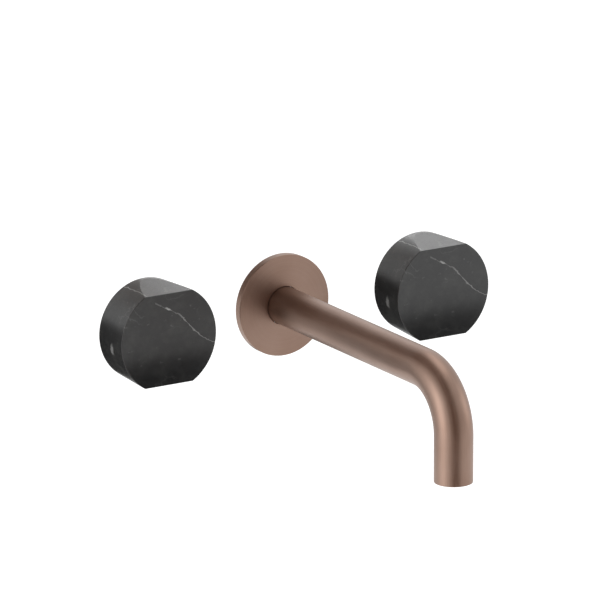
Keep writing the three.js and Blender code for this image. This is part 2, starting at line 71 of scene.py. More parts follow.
back = Vector((
    math.sin(CAMERA_AZIMUTH) * math.cos(CAMERA_ELEVATION),
    -math.cos(CAMERA_AZIMUTH) * math.cos(CAMERA_ELEVATION),
    math.sin(CAMERA_ELEVATION),
))
right = Vector((math.cos(CAMERA_AZIMUTH), math.sin(CAMERA_AZIMUTH), 0))
up = back.cross(right)
aim = right * AIM_RIGHT + up * AIM_UP
bpy.ops.object.camera_add(location=aim + back * CAMERA_DISTANCE)
camera = bpy.context.object
camera.rotation_euler = Matrix((right, up, back)).transposed().to_euler()
camera.data.sensor_width = SENSOR
camera.data.lens = SENSOR * CAMERA_DISTANCE / FIELD
bpy.context.scene.camera = camera
print("lens", round(camera.data.lens), "mm")

# %% [markdown]
# ## Turned pieces
# Most pieces of a faucet come off a lathe. In Blender that is the Spin tool: half of the section is
# drawn as a line of points, vertex by vertex, and spun about the axis. All axes here run along Y,
# into the wall. The outline's corners are eased first, because a real edge is never quite sharp and
# only a rounded one catches the light.

# %% Turned pieces
TURN_STEPS = 96
WELD = 1e-6
SMOOTH_ANGLE = math.radians(32)


def deselect():
    bpy.ops.object.select_all(action="DESELECT")


def make_active(piece):
    deselect()
    piece.select_set(True)
    bpy.context.view_layer.objects.active = piece


def eased(outline, radius, closed=True):
    """The outline with its corners rounded, except where it meets the axis."""
    points = [Vector(p) for p in outline]
    rounded = []
    for i, corner in enumerate(points):
        last, following = points[i - 1], points[(i + 1) % len(points)]
        if corner.x < WELD or (not closed and i in (0, len(points) - 1)):
            rounded.append(corner)
            continue
        set_back = min(radius, 0.4 * (last - corner).length, 0.4 * (following - corner).length)
        start = corner + (last - corner).normalized() * set_back
        end = corner + (following - corner).normalized() * set_back
        for t in (0, 0.3, 0.7, 1):
            rounded.append(start * (1 - t) ** 2 + corner * 2 * t * (1 - t) + end * t * t)
    return [tuple(p) for p in rounded]


def draw_line(name, points):
    """A new piece in edit mode: one vertex, extruded from point to point."""
    bpy.ops.mesh.primitive_plane_add(size=MM)
    piece = bpy.context.object
    piece.name = name
    bpy.ops.object.mode_set(mode="EDIT")
    bpy.ops.mesh.merge(type="CENTER")
    bpy.ops.transform.translate(value=points[0])
    for last, following in zip(points, points[1:]):
        step = [b - a for a, b in zip(last, following)]
        bpy.ops.mesh.extrude_region_move(TRANSFORM_OT_translate={"value": step})
    return piece


def tidy_shell():
    """In edit mode: welds what lies together and turns all faces outwards."""
    bpy.ops.mesh.select_all(action="SELECT")
    bpy.ops.mesh.remove_doubles(threshold=WELD)
    bpy.ops.mesh.normals_make_consistent(inside=False)
    bpy.ops.object.mode_set(mode="OBJECT")


def turned(name, outline, ease=0.0, steps=TURN_STEPS):
    """A piece turned about the Y axis, from its half outline of (radius, y) in millimetres."""
    closed = outline[0][0] > 0
    points = eased(outline, ease, closed) if ease else list(outline)
    if closed:
        points.append(points[0])
    piece = draw_line(name, [(r * MM, y * MM, 0) for r, y in points])
    bpy.ops.mesh.select_all(action="SELECT")
    bpy.ops.mesh.spin(steps=steps, angle=2 * math.pi, center=(0, 0, 0), axis=(0, 1, 0))
    tidy_shell()
    return piece


def ring(inner, outer, y0, y1):
    """The half outline of a flat ring or sleeve."""
    return [(inner, y0), (outer, y0), (outer, y1), (inner, y1)]


def rod(radius, y0, y1):
    """The half outline of a solid bar."""
    return [(0, y0), (radius, y0), (radius, y1), (0, y1)]


# %% [markdown]
# Holes, windows and recesses are cut with a second solid by a Boolean modifier, which is applied at
# once. The cutter is then thrown away, so that no live modifier is left on a finished piece.

# %% Cutting and placing
def modified(piece, kind, **settings):
    """Gives a piece a modifier with these settings and applies it."""
    make_active(piece)
    modifier = piece.modifiers.new(kind.lower(), kind)
    for name, value in settings.items():
        setattr(modifier, name, value)
    bpy.ops.object.modifier_apply(modifier=modifier.name)
    return piece


def carve(piece, cutter, operation="DIFFERENCE"):
    modified(piece, "BOOLEAN", operation=operation, solver="EXACT", object=cutter)
    bpy.data.objects.remove(cutter)
    return piece


def bevelled(piece, width, segments=2, angle=math.radians(40)):
    return modified(
        piece, "BEVEL", width=width * MM, segments=segments, limit_method="ANGLE", angle_limit=angle
    )


def settle():
    """Puts the active piece's place, turn and scale into its mesh."""
    bpy.ops.object.transform_apply(location=True, rotation=True, scale=True)


def moved(piece, offset=(0, 0, 0), turn=(0, 0, 0)):
    """Turns and moves a piece and puts its place into its mesh."""
    make_active(piece)
    piece.rotation_euler = [math.radians(t) for t in turn]
    piece.location = [v * MM for v in offset]
    settle()
    return piece


def box_between(name, low, high):
    """A plain box between two corners in millimetres, as a cutter or the start of a piece."""
    middle = [(a + b) / 2 * MM for a, b in zip(low, high)]
    bpy.ops.mesh.primitive_cube_add(size=1, location=middle)
    piece = bpy.context.object
    piece.name = name
    piece.scale = [(b - a) * MM for a, b in zip(low, high)]
    settle()
    return piece


def pin_hole(radius, y, z0, z1):
    """A round cutter along Z between two heights."""
    return moved(turned("hole", rod(radius, z0, z1), steps=32), (0, y, 0), (90, 0, 0))


# %% [markdown]
# The frame tells how long and how wide each piece is. A bore is read from the same mesh: it is the
# vertex that lies nearest to the piece's axis.

# %% Reading sizes from the frame
def span(node):
    """Front, back and largest radius of a piece about its Y axis, in millimetres."""
    low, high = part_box(node)
    return low.y / MM, high.y / MM, (high.x - low.x) / 2 / MM


def bore(node, y0=-1e9, y1=1e9):
    """Smallest radius about the piece's Y axis, between two places, in millimetres."""
    low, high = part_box(node)
    middle = (low.x + high.x) / 2
    places = [v.co for v in frame["nodes"][node].data.vertices if y0 <= v.co.y / MM <= y1]
    return min(math.hypot(p.x - middle, p.z) for p in places) / MM


# %% [markdown]
# ## Screw threads
# A thread is one V profile carried along a helix, which the Screw modifier does. It runs past both
# ends, is cut square with Bisect, and is then intersected with a bar whose ends are chamfered, so
# that the thread starts as shallow as one cut on a lathe.

# %% Screw threads
PIPE_PITCH = 1.814  # G1/2
THREAD_STEPS = 72


def threaded_bar(name, radius, pitch, y0, y1, steps=THREAD_STEPS):
    depth = 0.6 * pitch
    turns = math.ceil((y1 - y0) / pitch) + 3
    start = y0 - 1.5 * pitch
    root, crest = radius - depth, radius
    profile = [(root, 0.06), (crest, 0.44), (crest, 0.56), (root, 0.94), (root, 1.06)]
    piece = draw_line(name, [(r * MM, (start + p * pitch) * MM, 0) for r, p in profile])
    bpy.ops.object.mode_set(mode="OBJECT")
    modified(
        piece, "SCREW", axis="Y", screw_offset=pitch * MM, iterations=turns, steps=steps,
        render_steps=steps, use_merge_vertices=True, merge_threshold=WELD,
    )
    bpy.ops.object.mode_set(mode="EDIT")
    for y, side in ((y0, -1), (y1, 1)):
        bpy.ops.mesh.select_all(action="SELECT")
        bpy.ops.mesh.bisect(
            plane_co=(0, y * MM, 0), plane_no=(0, side, 0), use_fill=True, clear_outer=True
        )
    tidy_shell()
    blank = [(0, y0), (radius - depth, y0), (radius + WELD, y0 + depth)]
    blank += [(radius + WELD, y1 - depth), (radius - depth, y1), (0, y1)]
    return carve(piece, turned("chamfered_bar", blank), "INTERSECT")


# %% [markdown]
# ## Finishes
# All finishes are built from nodes that read object coordinates, so they stay on the piece wherever
# it moves. `noise`, `maths` and `ramp` keep the node trees short. A Mapping node in millimetres
# centres a pattern on the spout's or a valve's axis.

# %% Helpers for the finishes
def new_material(name):
    """A material with its node tree, its shader and the object's coordinates in millimetres."""
    material = bpy.data.materials.new(name)
    material.use_nodes = True
    tree = material.node_tree
    shader = tree.nodes["Principled BSDF"]
    coordinates = tree.nodes.new("ShaderNodeTexCoord")
    mapping = tree.nodes.new("ShaderNodeMapping")
    mapping.inputs["Scale"].default_value = (1 / MM,) * 3
    tree.links.new(coordinates.outputs["Object"], mapping.inputs["Vector"])
    return material, tree, shader, mapping


def link(tree, source, target):
    if isinstance(source, (int, float)):
        target.default_value = source
    else:
        tree.links.new(source, target)


def maths(tree, operation, a, b=0.0, c=0.0, clamp=False):
    node = tree.nodes.new("ShaderNodeMath")
    node.operation = operation
    node.use_clamp = clamp
    for source, target in zip((a, b, c), node.inputs):
        link(tree, source, target)
    return node.outputs[0]


def noise(tree, vector, scale, detail=3.0, roughness=0.5):
    node = tree.nodes.new("ShaderNodeTexNoise")
    node.inputs["Scale"].default_value = scale
    node.inputs["Detail"].default_value = detail
    node.inputs["Roughness"].default_value = roughness
    tree.links.new(vector, node.inputs["Vector"])
    return node.outputs["Fac"]


def vector_maths(tree, operation, vector, other=(0, 0, 0), output="Vector"):
    node = tree.nodes.new("ShaderNodeVectorMath")
    node.operation = operation
    node.inputs[1].default_value = other
    tree.links.new(vector, node.inputs[0])
    return node.outputs[output]


def stretch(tree, vector, scale):
    return vector_maths(tree, "MULTIPLY", vector, scale)


def ramp(tree, value, low, high, to_low=0.0, to_high=1.0):
    """A smooth step: to_low below low, to_high above high."""
    node = tree.nodes.new("ShaderNodeMapRange")
    node.interpolation_type = "SMOOTHSTEP"
    for name, number in (("From Min", low), ("From Max", high), ("To Min", to_low), ("To Max", to_high)):
        node.inputs[name].default_value = number
    tree.links.new(value, node.inputs["Value"])
    return node.outputs["Result"]


def mix(tree, factor, a, b):
    """Mixes two colours, each a triple or a socket."""
    node = tree.nodes.new("ShaderNodeMix")
    node.data_type = "RGBA"
    link(tree, factor, node.inputs["Factor"])
    for colour, name in ((a, 6), (b, 7)):
        if isinstance(colour, tuple):
            node.inputs[name].default_value = (*colour, 1)
        else:
            tree.links.new(colour, node.inputs[name])
    return node.outputs[2]


def relief(tree, shader, height, depth, strength=1.0):
    """Bump of the given depth in millimetres."""
    node = tree.nodes.new("ShaderNodeBump")
    node.inputs["Strength"].default_value = strength
    node.inputs["Distance"].default_value = depth * MM
    tree.links.new(height, node.inputs["Height"])
    tree.links.new(node.outputs["Normal"], shader.inputs["Normal"])


# %% [markdown]
# ### Black marble
# The stone is almost black and honed, not polished. One grey vein crosses the front from the upper
# left to the right edge: it is a bent sheet through the stone, so it also runs back along the top
# flat. It has one bright knot and fades out near the upper edge. A pale patch sits on the left side,
# and faint flecks and a net of faint thin veins lie under all of it.
# The pattern is the same in both knobs, so the Mapping node centres it on each valve's axis.

# %% Black marble
STONE_IOR = 1.6
VEIN_NORMAL = (0.619, 0.0, 0.785)
VEIN_ALONG = (0.785, 0.0, -0.619)
VEIN_OFFSET = 14.6
VEIN_WAVE = 1.25
VEIN_WAVE_LENGTH = 42.0
VEIN_BRIGHTENS = (-9.0, 4.0)  # from and to, along the vein
GAP_MIDDLE, GAP_HALF = -27.0, 3.4  # where the vein fades out under the edge
VEIN_PHASE = 3.0
VEIN_WANDER, VEIN_SHIVER = 2.6, 0.45
VEIN_HALF_WIDTH, KNOT_HALF_WIDTH = 0.66, 0.3
VEIN_STRENGTH = (0.24, 0.52)  # before and after it brightens
VEIN_BEHIND = (-32.7, -31.5, 0.0, 0.7)  # from and to, along Y, and its strength there
KNOT_STRENGTH, PATCH_STRENGTH, NET_STRENGTH, FLECK_STRENGTH = 0.75, 0.42, 0.07, 0.09
NET_SCALE, NET_WARP = 0.055, 16
STONE_DARK, STONE_CLOUD = (0.0095, 0.0095, 0.0098), (0.0225, 0.0225, 0.0215)
VEIN_COLOUR = (0.42, 0.42, 0.41)
STONE_ROUGHNESS = (0.33, 0.45)
KNOT_PLACE = (-0.2, -33.0, 19.9)
PATCH_PLACE = (-32.0, -19.5, -5.0)


def dot(tree, vector, direction):
    return vector_maths(tree, "DOT_PRODUCT", vector, direction, "Value")


def distance(tree, vector, point, scale=(1, 1, 1)):
    away = stretch(tree, vector_maths(tree, "SUBTRACT", vector, point), scale)
    return vector_maths(tree, "LENGTH", away, output="Value")


def black_marble(name, axis_x):
    material, tree, shader, mapping = new_material(name)
    mapping.inputs["Location"].default_value = (-axis_x, 0, 0)
    place = mapping.outputs["Vector"]
    along = dot(tree, place, VEIN_ALONG)
    across = dot(tree, place, VEIN_NORMAL)
    phase = maths(tree, "MULTIPLY", maths(tree, "ADD", along, VEIN_PHASE), 2 * math.pi / VEIN_WAVE_LENGTH)
    bend = maths(tree, "COSINE", phase)
    sheet = maths(tree, "SUBTRACT", across, maths(tree, "MULTIPLY_ADD", bend, VEIN_WAVE, VEIN_OFFSET))
    wander = maths(tree, "SUBTRACT", noise(tree, place, 0.22, 4, 0.6), 0.5)
    shiver = maths(tree, "SUBTRACT", noise(tree, place, 0.8, 3, 0.6), 0.5)
    wander = maths(tree, "MULTIPLY_ADD", shiver, VEIN_SHIVER, wander)
    off = maths(tree, "ABSOLUTE", maths(tree, "MULTIPLY_ADD", wander, VEIN_WANDER, sheet))
    swell = ramp(tree, noise(tree, stretch(tree, place, (1, 0.4, 1)), 0.16, 1), 0.35, 0.7, 0.3, 1.0)
    knot = ramp(tree, distance(tree, place, KNOT_PLACE), 0.8, 3.2, 1.0, 0.0)
    half_width = maths(tree, "MULTIPLY", swell, VEIN_HALF_WIDTH)
    half_width = maths(tree, "MULTIPLY_ADD", knot, KNOT_HALF_WIDTH, half_width)
    core = maths(tree, "SUBTRACT", 1.0, maths(tree, "DIVIDE", off, half_width), clamp=True)
    strength = ramp(tree, along, *VEIN_BRIGHTENS, *VEIN_STRENGTH)
    gap = maths(tree, "ABSOLUTE", maths(tree, "SUBTRACT", along, GAP_MIDDLE))
    strength = maths(tree, "MULTIPLY", strength, ramp(tree, gap, GAP_HALF, GAP_HALF + 1.5))
    behind = ramp(tree, dot(tree, place, (0, 1, 0)), *VEIN_BEHIND)
    strength = maths(tree, "MAXIMUM", strength, behind)
    strength = maths(tree, "MULTIPLY_ADD", knot, KNOT_STRENGTH, strength, clamp=True)
    vein = maths(tree, "MULTIPLY", maths(tree, "POWER", core, 0.7), strength)
    patch_wander = maths(tree, "MULTIPLY_ADD", noise(tree, place, 0.35, 3), 5.0, -2.5)
    patch_off = maths(tree, "ADD", distance(tree, place, PATCH_PLACE, (0.5, 1.0, 0.62)), patch_wander)
    patch = ramp(tree, patch_off, 0.4, 2.8, PATCH_STRENGTH, 0.0)
    net = tree.nodes.new("ShaderNodeTexVoronoi")
    net.feature = "DISTANCE_TO_EDGE"
    net.inputs["Scale"].default_value = NET_SCALE
    warp = tree.nodes.new("ShaderNodeTexNoise")
    warp.inputs["Scale"].default_value = 0.1
    warp.inputs["Detail"].default_value = 4
    tree.links.new(place, warp.inputs["Vector"])
    warped = tree.nodes.new("ShaderNodeVectorMath")
    warped.operation = "MULTIPLY_ADD"
    warped.inputs[1].default_value = (NET_WARP,) * 3
    tree.links.new(warp.outputs["Color"], warped.inputs[0])
    tree.links.new(place, warped.inputs[2])
    tree.links.new(warped.outputs[0], net.inputs["Vector"])
    thin = ramp(tree, net.outputs["Distance"], 0.0, 0.03, 1.0, 0.0)
    sparse = ramp(tree, noise(tree, place, 0.05, 2), 0.52, 0.68, 0.0, NET_STRENGTH)
    grain = noise(tree, stretch(tree, place, (0.7, 1, 1.3)), 0.3, 2)
    fleck = ramp(tree, grain, 0.66, 0.76, 0.0, FLECK_STRENGTH)
    faint = maths(tree, "MAXIMUM", maths(tree, "MULTIPLY", thin, sparse), fleck)
    cloud = ramp(tree, noise(tree, place, 0.09, 5, 0.62), 0.42, 0.72, 0.0, 1.0)
    stone = mix(tree, cloud, STONE_DARK, STONE_CLOUD)
    white = maths(tree, "MAXIMUM", maths(tree, "MAXIMUM", vein, patch), faint, clamp=True)
    colour = mix(tree, white, stone, VEIN_COLOUR)
    tree.links.new(colour, shader.inputs["Base Color"])
    haze = noise(tree, place, 1.2, 4, 0.65)
    tree.links.new(ramp(tree, haze, 0.3, 0.75, *STONE_ROUGHNESS), shader.inputs["Roughness"])
    shader.inputs["IOR"].default_value = STONE_IOR
    relief(tree, shader, noise(tree, place, 5.0, 3, 0.7), 0.004)
    return material


# %% [markdown]
# ### Brushed bronze
# The visible metal is a brown bronze coating over brushed brass. On the tube the brush ran along its
# length, so its marks follow the tube's own UV map round the bend. On the flange and the collars the
# piece was spun under the brush, which leaves rings round the axis.

# %% Brushed bronze
BRONZE_LIGHT = (0.295, 0.2, 0.158)
BRONZE_DEEP = (0.245, 0.156, 0.118)
BRONZE_ROUGHNESS = (0.37, 0.47)
COAT_WEIGHT, COAT_ROUGHNESS = 0.25, 0.5


def lathe_place(tree, place):
    """Turns a place into (radius, y): what is the same all round the axis."""
    split = tree.nodes.new("ShaderNodeSeparateXYZ")
    tree.links.new(place, split.inputs[0])
    square = maths(tree, "MULTIPLY", split.outputs["X"], split.outputs["X"])
    radius = maths(tree, "SQRT", maths(tree, "MULTIPLY_ADD", split.outputs["Z"], split.outputs["Z"], square))
    joined = tree.nodes.new("ShaderNodeCombineXYZ")
    tree.links.new(radius, joined.inputs["X"])
    tree.links.new(split.outputs["Y"], joined.inputs["Y"])
    return joined.outputs[0]


def brushed_bronze(name, axis_x=0.0, brushed_along=False):
    material, tree, shader, mapping = new_material(name)
    mapping.inputs["Location"].default_value = (-axis_x, 0, 0)
    place = mapping.outputs["Vector"]
    if brushed_along:
        surface = tree.nodes.new("ShaderNodeUVMap")
        surface.uv_map = "tube"
        brush_place = stretch(tree, surface.outputs["UV"], (3.2, 0.05, 1))
    else:
        brush_place = stretch(tree, lathe_place(tree, place), (3.0, 3.0, 1))
    brush = noise(tree, brush_place, 1.0, 4, 0.7)
    tone = noise(tree, place, 0.03, 3)
    shade = maths(tree, "MULTIPLY_ADD", brush, 0.5, maths(tree, "MULTIPLY", tone, 0.5))
    tree.links.new(
        mix(tree, ramp(tree, shade, 0.35, 0.65), BRONZE_DEEP, BRONZE_LIGHT), shader.inputs["Base Color"]
    )
    shader.inputs["Metallic"].default_value = 1.0
    shader.inputs["Coat Weight"].default_value = COAT_WEIGHT
    shader.inputs["Coat Roughness"].default_value = COAT_ROUGHNESS
    tree.links.new(ramp(tree, brush, 0.3, 0.7, *BRONZE_ROUGHNESS), shader.inputs["Roughness"])
    relief(tree, shader, brush, 0.003)
    return material


# %% [markdown]
# ### Brass, steel, rubber, ceramic and nylon
# What the wall hides is plain: turned brass with tool marks, dark zinc plated steel, black rubber
# with a faint bloom, off-white ceramic, and moulded nylon. Each has its own small variation.

# %% Plain finishes
def turned_metal(name, low, high, rough, mark_scale, axis_x=0.0):
    material, tree, shader, mapping = new_material(name)
    mapping.inputs["Location"].default_value = (-axis_x, 0, 0)
    place = mapping.outputs["Vector"]
    marks = noise(tree, stretch(tree, lathe_place(tree, place), (mark_scale,) * 3), 1.0, 2, 0.6)
    tarnish = noise(tree, place, 0.12, 5, 0.6)
    tree.links.new(mix(tree, ramp(tree, tarnish, 0.35, 0.7), high, low), shader.inputs["Base Color"])
    shader.inputs["Metallic"].default_value = 1.0
    tree.links.new(ramp(tree, tarnish, 0.3, 0.7, rough - 0.06, rough + 0.08), shader.inputs["Roughness"])
    relief(tree, shader, marks, 0.01)
    return material


def moulded(name, low, high, rough, grain_scale, grain_depth):
    material, tree, shader, mapping = new_material(name)
    place = mapping.outputs["Vector"]
    stain = noise(tree, place, 0.15, 4, 0.6)
    grain = noise(tree, place, grain_scale, 3, 0.65)
    tree.links.new(mix(tree, ramp(tree, stain, 0.35, 0.7), low, high), shader.inputs["Base Color"])
    tree.links.new(ramp(tree, grain, 0.3, 0.7, rough - 0.06, rough + 0.06), shader.inputs["Roughness"])
    relief(tree, shader, grain, grain_depth)
    return material


BRASS_LOW, BRASS_HIGH = (0.46, 0.31, 0.12), (0.62, 0.45, 0.20)
STEEL_LOW, STEEL_HIGH = (0.33, 0.335, 0.34), (0.48, 0.485, 0.49)
VALVES = {side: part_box(f"{side}_glide_washer") for side in ("hot", "cold")}
VALVES = {side: round((low.x + high.x) / 2 / MM, 3) for side, (low, high) in VALVES.items()}
FINISH = {
    "rubber": moulded("rubber", (0.014, 0.014, 0.015), (0.03, 0.03, 0.031), 0.7, 3.0, 0.02),
    "ceramic": moulded("ceramic", (0.74, 0.72, 0.67), (0.82, 0.80, 0.75), 0.28, 4.0, 0.002),
    "nylon": moulded("nylon", (0.66, 0.65, 0.61), (0.74, 0.73, 0.69), 0.48, 2.0, 0.01),
    "bronze_tube": brushed_bronze("bronze_brushed_along", brushed_along=True),
}
for where, axis_x in (("spout", 0.0), *VALVES.items()):
    FINISH[f"bronze_{where}"] = brushed_bronze(f"bronze_brushed_round_{where}", axis_x)
    FINISH[f"brass_{where}"] = turned_metal(f"brass_{where}", BRASS_LOW, BRASS_HIGH, 0.3, 4.0, axis_x)
    FINISH[f"steel_{where}"] = turned_metal(f"steel_{where}", STEEL_LOW, STEEL_HIGH, 0.32, 6.0, axis_x)
for where, axis_x in VALVES.items():
    FINISH[f"marble_{where}"] = black_marble(f"black_marble_{where}", axis_x)
print("finishes:", len(FINISH))

# %% [markdown]
# Every finished piece goes through the same last step: it gets its finish and smooth shading with
# crisp edges, it rides on the body that its node belongs to, and it takes that node's place. The
# Weighted Normal modifier lets the large faces rule the shading, so a flat looks flat to its edge.

# %% Finishing a piece
NODE_BODY = {n: b for b, ns in frame["record"]["behaviour"]["bodies"].items() for n in ns}
NODE_SLOT = {s["node"]: s["material_slot"] for s in frame["record"]["subparts"]}


def finished(piece, node, finish):
    piece.name = piece.data.name = f"{node}_fine"
    piece.data.materials.clear()
    piece.data.materials.append(finish)
    make_active(piece)
    bpy.ops.object.shade_smooth_by_angle(angle=SMOOTH_ANGLE)
    modified(piece, "WEIGHTED_NORMAL", keep_sharp=True)
    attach(piece, NODE_BODY[node])
    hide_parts(node)


def finish_for(node, where):
    slot = NODE_SLOT[node]
    return FINISH.get(f"{slot}_{where}") or FINISH[slot]


def spout_piece(piece, node, finish=None):
    finished(piece, node, finish or finish_for(node, "spout"))


def valve_pieces(piece, name):
    """Copies a piece that was made about the Y axis to both valves, each copy with its own mesh."""
    for side, axis_x in VALVES.items():
        copy = piece.copy()
        copy.data = piece.data.copy()
        bpy.context.collection.objects.link(copy)
        moved(copy, (axis_x, 0, 0))
        finished(copy, f"{side}_{name}", finish_for(f"{side}_{name}", side))
    bpy.data.objects.remove(piece)


# %% [markdown]
# ## The spout tube
# The real tube is drawn, bent on a mandrel and cut off square. Here its section does the same: a
# circle is extruded from the wall, spun a quarter turn at the bend and extruded down to the rim.
# There the loop turns inwards, climbs the wider bore of the aerator, and goes back through the tube
# as its inner wall. Bridging the last loop to the first closes the shell.

# %% The spout tube
TUBE_SIDES = 96
BEND_STEPS = 40
BEND_RADIUS = 35.0
TUBE_WALL = 2.4
RIM_EASE = 0.35
AERATOR_SEAT = 13.6  # depth of the wider bore
SCREW_PLACE = -14.0  # of the grub screw, along Y

tube_low, tube_high = (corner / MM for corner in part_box("spout_tube"))
tube_radius = tube_high.z
tube_bore = tube_radius - TUBE_WALL
reach = -tube_low.y - tube_radius
outlet_bore = span("aerator_housing")[2] + 0.2
bend_y = BEND_RADIUS - reach
bend_centre = (0, bend_y * MM, -BEND_RADIUS * MM)


def push(y=0.0, z=0.0):
    bpy.ops.mesh.extrude_region_move(TRANSFORM_OT_translate={"value": (0, y * MM, z * MM)})


def widen(factor):
    """Extrudes the loop in place and scales it across the outlet's axis."""
    bpy.ops.mesh.extrude_region_move()
    bpy.ops.transform.resize(value=(factor, factor, 1))


def slide(share):
    """Moves the loop up by a share of the rim's easing."""
    bpy.ops.transform.translate(value=(0, 0, share * RIM_EASE * MM))


bpy.ops.mesh.primitive_circle_add(
    vertices=TUBE_SIDES, radius=tube_radius * MM, location=(0, tube_high.y * MM, 0),
    rotation=(math.pi / 2, 0, 0),
)
tube = bpy.context.object
settle()
bpy.ops.object.mode_set(mode="EDIT")
push(y=SCREW_PLACE - 8 - tube_high.y)
push(y=bend_y - SCREW_PLACE + 8)
bpy.ops.mesh.spin(steps=BEND_STEPS, angle=-math.pi / 2, center=bend_centre, axis=(1, 0, 0))
push(z=tube_low.z + RIM_EASE + BEND_RADIUS)
widen((tube_radius - 0.3 * RIM_EASE) / tube_radius)
slide(-0.7)
widen((tube_radius - RIM_EASE) / (tube_radius - 0.3 * RIM_EASE))
slide(-0.3)
widen((outlet_bore + RIM_EASE) / (tube_radius - RIM_EASE))
widen(outlet_bore / (outlet_bore + RIM_EASE))
slide(1)
push(z=AERATOR_SEAT - RIM_EASE)
widen(tube_bore / outlet_bore)
push(z=-BEND_RADIUS - tube_low.z - AERATOR_SEAT)
bpy.ops.mesh.spin(steps=BEND_STEPS, angle=math.pi / 2, center=bend_centre, axis=(1, 0, 0))
push(y=tube_high.y - bend_y)
bpy.ops.mesh.select_all(action="DESELECT")
bpy.ops.mesh.select_non_manifold()
bpy.ops.mesh.bridge_edge_loops()
tidy_shell()
print("tube", [[round(v / MM, 2) for v in c] for c in (tube.bound_box[0], tube.bound_box[6])])

# %% [markdown]
# The brush marks need a map that follows the tube: U runs round the section and V along the
# centreline, both in millimetres. Each corner finds its own place on the centreline: in front of the
# bend, in it, or below it.

# %% The tube's own map
def place_on_tube(p):
    """(round the section, along the centreline) of a point, in millimetres."""
    x, y, z = p / MM
    if y > bend_y:
        return math.atan2(x, z) * tube_radius, -y
    if z < -BEND_RADIUS:
        below = -BEND_RADIUS - z
        return math.atan2(x, -y - reach) * tube_radius, -bend_y + BEND_RADIUS * math.pi / 2 + below
    turn = math.atan2(bend_y - y, z + BEND_RADIUS)
    out = math.hypot(bend_y - y, z + BEND_RADIUS) - BEND_RADIUS
    return math.atan2(x, out) * tube_radius, -bend_y + BEND_RADIUS * turn


tube_map = tube.data.uv_layers.new(name="tube")
for loop in tube.data.loops:
    tube_map.data[loop.index].uv = place_on_tube(tube.data.vertices[loop.vertex_index].co)
screw_radius = (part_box("spout_grub_screw")[1].x / MM) + 0.2
carve(tube, pin_hole(screw_radius, SCREW_PLACE, -tube_radius - 1, 1 - tube_bore))
spout_piece(tube, "spout_tube", FINISH["bronze_tube"])

# %% [markdown]
# ## Flange and collars
# Covers hide the holes in the wall. They are turned, with a softly rounded front rim and, behind, a
# recess for the rubber gasket. The spout's flange also has an inner groove for the O-ring that grips
# the tube. The collars behind the knobs are thinner and otherwise the same.

# %% Flange and collars
GASKET_PLAY = 0.3
RIM_ROUND = 0.6


def cover(node, groove=()):
    front, rear, radius = span(node)
    hole = bore(node)
    gasket = node.replace("spout_flange", "flange_gasket").replace("wall_collar", "collar_gasket")
    gasket_front, _, gasket_radius = span(gasket)
    inner, outer = bore(gasket) - GASKET_PLAY, gasket_radius + GASKET_PLAY
    floor = gasket_front - GASKET_PLAY
    outline = [(hole, front), (radius, front), (radius, rear), (outer, rear), (outer, floor)]
    outline += [(inner, floor), (inner, rear), (hole, rear), *groove]
    return turned(node, outline, ease=RIM_ROUND, steps=128)


ring_low, ring_high = (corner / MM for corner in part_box("flange_o_ring"))
groove_floor = ring_high.x + 0.1
flange_bore = tube_radius + 0.2
groove = [
    (flange_bore, ring_high.y + 0.1), (groove_floor, ring_high.y + 0.1),
    (groove_floor, ring_low.y - 0.1), (flange_bore, ring_low.y - 0.1),
]
spout_piece(cover("spout_flange", groove), "spout_flange")
valve_pieces(cover("hot_wall_collar"), "wall_collar")
for maker, node in ((spout_piece, "flange_gasket"), (valve_pieces, "hot_collar_gasket")):
    front, rear, radius = span(node)
    gasket = turned(node, ring(bore(node), radius, front, rear), ease=0.2)
    maker(gasket, node.removeprefix("hot_"))

# %% [markdown]
# ## O-rings
# An O-ring is a torus with a fine flash line on its outside and inside, where the two halves of its
# mould met. So its section is a circle with two small ridges, turned about the axis.

# %% O-rings
SECTION_STEPS = 20
FLASH = 1.04  # ridge over the section's radius


def o_ring(node):
    front, rear, radius = span(node)
    section, middle = (rear - front) / 2 / math.sin(math.pi / 3), (rear + front) / 2
    outline = []
    for i in range(SECTION_STEPS):
        angle = 2 * math.pi * i / SECTION_STEPS
        size = section * (FLASH if i % (SECTION_STEPS // 2) == 0 else 1)
        outline.append((radius - section + size * math.cos(angle), middle + size * math.sin(angle)))
    return turned(node, outline)


for node in ("flange_o_ring", "nipple_o_ring_front", "nipple_o_ring_rear"):
    spout_piece(o_ring(node), node)
for name in ("spindle_o_ring_front", "spindle_o_ring_rear", "headwork_o_ring"):
    valve_pieces(o_ring(f"hot_{name}"), name)

# %% [markdown]
# ## The inlet nipple
# The brass nipple screws into the wall and carries the tube. Its front has two grooves for O-rings
# and a wider one that the grub screw bites into. The blank is turned without the pipe thread, and
# the threaded bar is joined to it before the bore is cut through both.

# %% The inlet nipple
THREAD_PLACE = 1.0  # start of the thread behind the wall's face
THREAD_ROOT = 9.25
RING_PLAY = 0.1
SCREW_GROOVE = 1.6

nipple_front, nipple_rear, thread_radius = span("inlet_nipple")
nipple_radius = tube_bore - 0.2
waterway = bore("inlet_nipple")


def grooved(radius, start, *grooves):
    """The outside of a shaft from its start, with grooves of (floor, from, to)."""
    outline = [(radius, start)]
    for floor, y0, y1 in grooves:
        outline += [(radius, y0), (floor, y0), (floor, y1), (radius, y1)]
    return outline


def ring_groove(node):
    front, rear, radius = span(node)
    section = (rear - front) / 2 / math.sin(math.pi / 3)
    middle = (front + rear) / 2
    return radius - 2 * section - RING_PLAY, middle - section - RING_PLAY, middle + section + RING_PLAY


